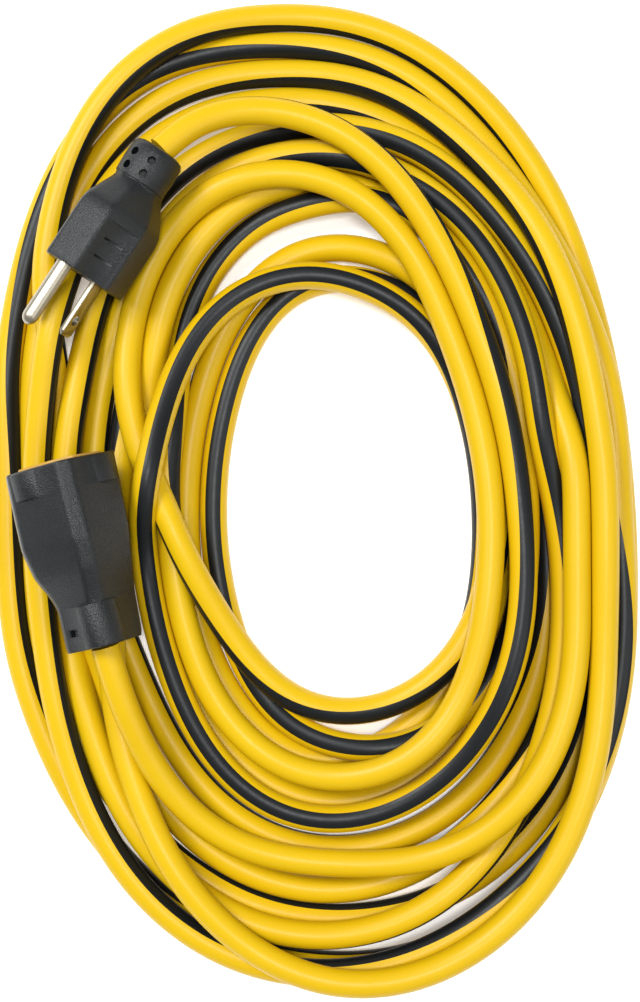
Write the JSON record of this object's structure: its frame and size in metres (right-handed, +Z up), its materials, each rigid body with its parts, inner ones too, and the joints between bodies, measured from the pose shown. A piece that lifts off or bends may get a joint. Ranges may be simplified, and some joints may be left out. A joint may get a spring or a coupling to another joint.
{
  "type": "extension cord",
  "caption": "Outdoor extension cord in a loose oval coil lying flat, with a moulded grounded plug and a moulded grounded connector on top of the turns.",
  "frame": {"origin": "on the surface that the coil lies on, under the middle of the object's box", "axes": "+Z up, the coil's short axis; +Y along the oval coil's long axis; +X across it, with the plug and the connector on the -X side"},
  "size_m": [0.1964, 0.3064, 0.0454],
  "materials": {
    "jacket": "semi-gloss yellow vinyl",
    "stripe": "semi-gloss charcoal vinyl, moulded into the jacket",
    "moulding": "fine-grained satin charcoal vinyl",
    "face_insert": "satin amber plastic",
    "pin_plating": "nickel-plated brass, lightly brushed",
    "contact_brass": "bare brass",
    "copper": "bare stranded copper",
    "core_black": "satin",
    "core_white": "satin",
    "core_green": "satin"
  },
  "bodies": {
    "root": {"plug_overmould": "moulding", "plug_bridge": "moulding", "plug_line_blade": "pin_plating", "plug_neutral_blade": "pin_plating", "plug_ground_pin": "pin_plating", "connector_overmould": "moulding", "connector_face": "face_insert", "connector_carrier": "moulding", "plug_line_strands": "copper", "plug_line_core": "core_black", "plug_neutral_strands": "copper", "plug_neutral_core": "core_white", "plug_ground_strands": "copper", "plug_ground_core": "core_green", "connector_line_contact": "contact_brass", "connector_line_strands": "copper", "connector_line_core": "core_black", "connector_neutral_contact": "contact_brass", "connector_neutral_strands": "copper", "connector_neutral_core": "core_white", "connector_ground_contact": "contact_brass", "connector_ground_strands": "copper", "connector_ground_core": "core_green", "plug_lead": "jacket", "connector_lead": "jacket", "cord_coil": "jacket"}
  },
  "joints": []
}
